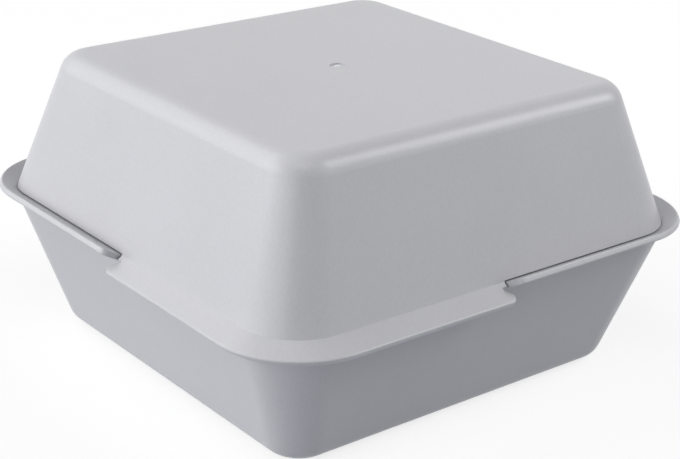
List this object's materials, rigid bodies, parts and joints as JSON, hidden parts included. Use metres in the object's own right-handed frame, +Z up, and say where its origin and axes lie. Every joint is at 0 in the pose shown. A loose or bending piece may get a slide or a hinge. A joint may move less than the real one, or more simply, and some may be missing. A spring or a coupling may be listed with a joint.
{
  "type": "reusable meal box",
  "caption": "Square moulded plastic meal box: a drafted tub and a matching lid with flared flanges that interlock round the rim and lift apart.",
  "frame": {"origin": "middle of the base's closed face, which the box stands on", "axes": "+Z up, the way the lid lifts off; X and Y square to the walls; the base's flanges are on the +X+Y and -X-Y corners"},
  "size_m": [0.155, 0.155, 0.0843],
  "materials": {
    "shell_plastic": "satin light grey polypropylene with a fine moulded grain"
  },
  "bodies": {
    "base": {"base": "shell_plastic"},
    "lid": {"lid": "shell_plastic"}
  },
  "joints": [
    {"name": "lid_lift", "type": "slide", "parent": "base", "child": "lid", "axis": [0, 0, 1], "range_m": [0, 0.12]}
  ]
}
